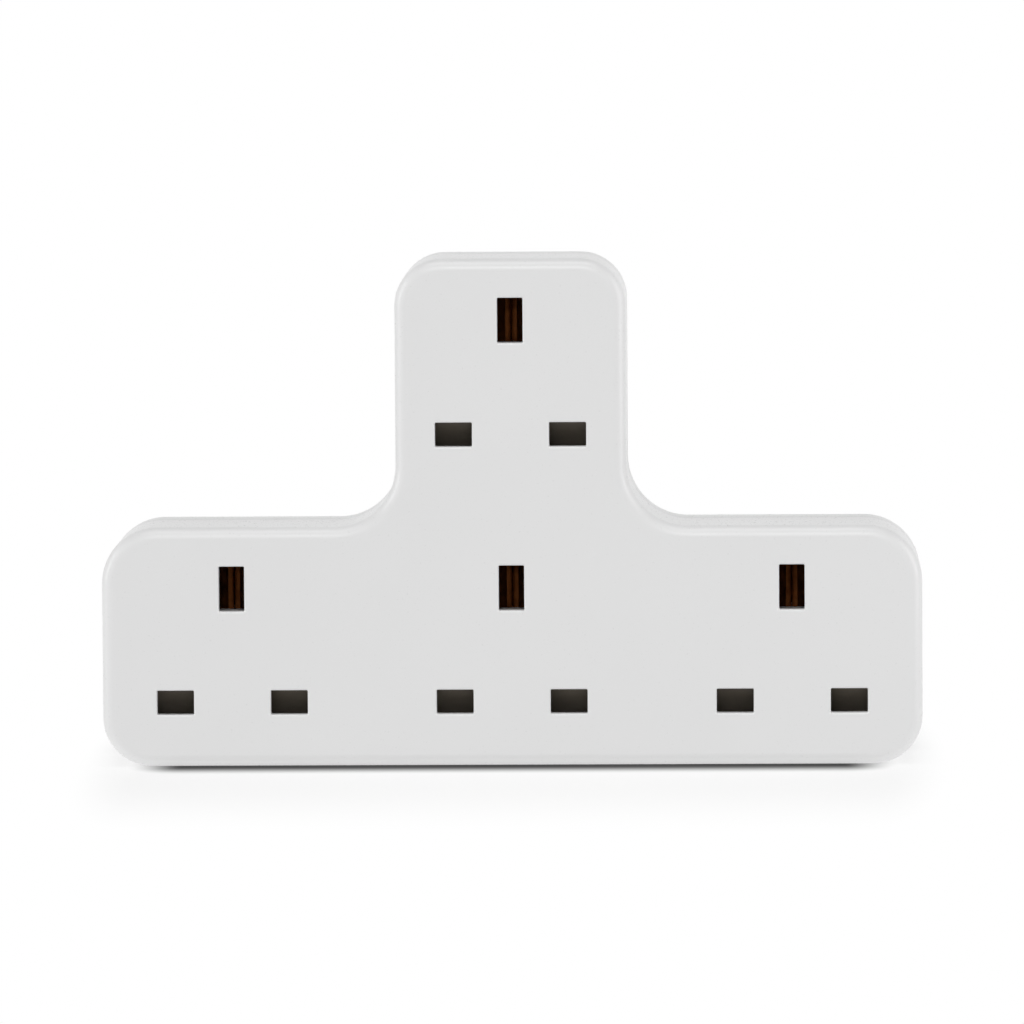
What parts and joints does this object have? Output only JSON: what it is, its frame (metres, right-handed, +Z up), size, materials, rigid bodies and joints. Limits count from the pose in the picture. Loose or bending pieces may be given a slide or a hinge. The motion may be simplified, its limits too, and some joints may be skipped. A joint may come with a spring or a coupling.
{
  "type": "multi socket adapter",
  "caption": "Inverted-T plug-in mains adapter that turns one flat three-pin wall outlet into a row of shuttered outlets with another above, fused on its plug face.",
  "frame": {"origin": "middle of the flat base that it stands on: centre of its length, mid-depth of the housing", "axes": "+Z up from the base to the upper outlet, +X to the right seen from the outlets, -Y out of the outlet face, so the plug pins point along +Y"},
  "size_m": [0.16, 0.0607, 0.099],
  "materials": {
    "housing": "satin moulded white",
    "shutter": "matt dark grey",
    "retainer": "matt black",
    "pin_brass": "drawn and tumbled",
    "pin_sleeve": "matt black",
    "busbar_brass": "rolled strip",
    "contact_bronze": "rolled strip",
    "spring_steel": "drawn wire",
    "screw_steel": "zinc plated",
    "fuse_ceramic": "matt",
    "fuse_cap": "nickel plated"
  },
  "bodies": {
    "housing": {"front_cover": "housing", "rear_cover": "housing", "housing_screws": "screw_steel", "earth_pin": "pin_brass", "line_pin": "pin_brass", "neutral_pin": "pin_brass", "line_pin_sleeve": "pin_sleeve", "neutral_pin_sleeve": "pin_sleeve", "earth_busbar": "busbar_brass", "line_busbar": "busbar_brass", "neutral_busbar": "busbar_brass", "fuse_clip_supply": "contact_bronze", "fuse_clip_load": "contact_bronze", "shutter_spring_left": "spring_steel", "shutter_retainer_left": "retainer", "earth_contact_left": "contact_bronze", "line_contact_left": "contact_bronze", "neutral_contact_left": "contact_bronze", "shutter_spring_middle": "spring_steel", "shutter_retainer_middle": "retainer", "earth_contact_middle": "contact_bronze", "line_contact_middle": "contact_bronze", "neutral_contact_middle": "contact_bronze", "shutter_spring_right": "spring_steel", "shutter_retainer_right": "retainer", "earth_contact_right": "contact_bronze", "line_contact_right": "contact_bronze", "neutral_contact_right": "contact_bronze", "shutter_spring_top": "spring_steel", "shutter_retainer_top": "retainer", "earth_contact_top": "contact_bronze", "line_contact_top": "contact_bronze", "neutral_contact_top": "contact_bronze"},
    "shutter_left": {"shutter_left": "shutter"},
    "shutter_middle": {"shutter_middle": "shutter"},
    "shutter_right": {"shutter_right": "shutter"},
    "shutter_top": {"shutter_top": "shutter"},
    "fuse_drawer": {"fuse_carrier": "housing", "fuse_tube": "fuse_ceramic", "fuse_cap_supply": "fuse_cap", "fuse_cap_load": "fuse_cap"}
  },
  "joints": [
    {"name": "shutter_left_slide", "type": "slide", "parent": "housing", "child": "shutter_left", "axis": [0, 0, 1], "range_m": [0, 0.0056], "stiffness_N_per_m": 120, "springref_m": -0.004, "deforming": ["shutter_spring_left"]},
    {"name": "shutter_middle_slide", "type": "slide", "parent": "housing", "child": "shutter_middle", "axis": [0, 0, 1], "range_m": [0, 0.0056], "stiffness_N_per_m": 120, "springref_m": -0.004, "deforming": ["shutter_spring_middle"]},
    {"name": "shutter_right_slide", "type": "slide", "parent": "housing", "child": "shutter_right", "axis": [0, 0, 1], "range_m": [0, 0.0056], "stiffness_N_per_m": 120, "springref_m": -0.004, "deforming": ["shutter_spring_right"]},
    {"name": "shutter_top_slide", "type": "slide", "parent": "housing", "child": "shutter_top", "axis": [0, 0, 1], "range_m": [0, 0.0056], "stiffness_N_per_m": 120, "springref_m": -0.004, "deforming": ["shutter_spring_top"]},
    {"name": "fuse_drawer_slide", "type": "slide", "parent": "housing", "child": "fuse_drawer", "axis": [0, 1, 0], "range_m": [0, 0.024]}
  ]
}
